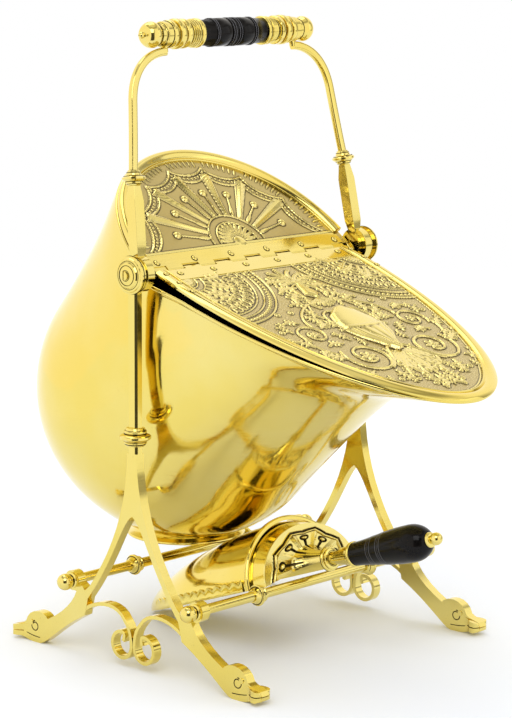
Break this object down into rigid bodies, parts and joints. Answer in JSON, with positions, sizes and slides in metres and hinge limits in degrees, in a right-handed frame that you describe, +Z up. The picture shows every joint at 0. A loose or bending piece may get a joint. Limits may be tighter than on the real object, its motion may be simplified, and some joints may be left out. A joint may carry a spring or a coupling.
{
  "type": "coal scuttle",
  "caption": "Helmet-shaped coal bucket with hinged lid, swinging between two scroll-footed frames, with bail handle and stowed shovel.",
  "frame": {"origin": "on the floor under the middle of the pivot line", "axes": "+X along the pivot line to the right, -Y towards the lip, +Z up"},
  "size_m": [0.3546, 0.5093, 0.5969],
  "materials": {
    "brass": "polished",
    "embossed_brass": "satin",
    "steel": "satin",
    "ebony": "gloss"
  },
  "bodies": {
    "stand": {"left_frame": "brass", "right_frame": "brass", "left_post_collar": "brass", "right_post_collar": "brass", "left_scrolls": "brass", "right_scrolls": "brass", "front_crossbar": "brass", "rear_crossbar": "brass", "crossbar_knops": "brass", "crossbar_finials": "brass", "left_pivot_bolt": "brass", "right_pivot_bolt": "brass"},
    "bail": {"left_bail_arm": "brass", "right_bail_arm": "brass", "left_bail_collar": "brass", "right_bail_collar": "brass", "left_bail_bow": "brass", "right_bail_bow": "brass", "grip_tie_rod": "steel", "black_grip": "ebony", "left_grip_ferrule": "brass", "right_grip_ferrule": "brass", "left_grip_bell": "brass", "right_grip_bell": "brass"},
    "bucket": {"bucket_bottom": "brass", "bucket_barrel": "brass", "foot_ring": "brass", "hood_panel": "embossed_brass", "hood_ornament": "embossed_brass", "hood_band": "brass", "rear_strap": "brass", "rear_rivets": "brass", "hinge_shield": "brass", "hinge_pin": "steel", "left_trunnion": "brass", "right_trunnion": "brass"},
    "lid": {"lid_panel": "embossed_brass", "lid_ornament": "embossed_brass", "lid_border": "brass", "front_strap": "brass", "front_rivets": "brass"},
    "shovel": {"scoop_shell": "brass", "scoop_plate": "embossed_brass", "scoop_hoop": "brass", "scoop_strips": "brass", "shovel_ferrule": "brass", "shovel_tang": "steel", "shovel_handle": "ebony", "shovel_end_cap": "brass"}
  },
  "joints": [
    {"name": "bucket_tilt", "type": "hinge", "parent": "stand", "child": "bucket", "pos_m": [0, 0, 0.37], "axis": [1, 0, 0], "range_deg": [0, 25]},
    {"name": "lid_hinge", "type": "hinge", "parent": "bucket", "child": "lid", "pos_m": [0, 0, 0.37], "axis": [-1, 0, 0], "range_deg": [0, 95]},
    {"name": "bail_swing", "type": "hinge", "parent": "stand", "child": "bail", "pos_m": [0, 0, 0.37], "axis": [-1, 0, 0], "range_deg": [0, 45]},
    {"name": "shovel_lift", "type": "slide", "parent": "stand", "child": "shovel", "axis": [0, -0.9424, 0.3346], "range_m": [0, 0.06]}
  ]
}
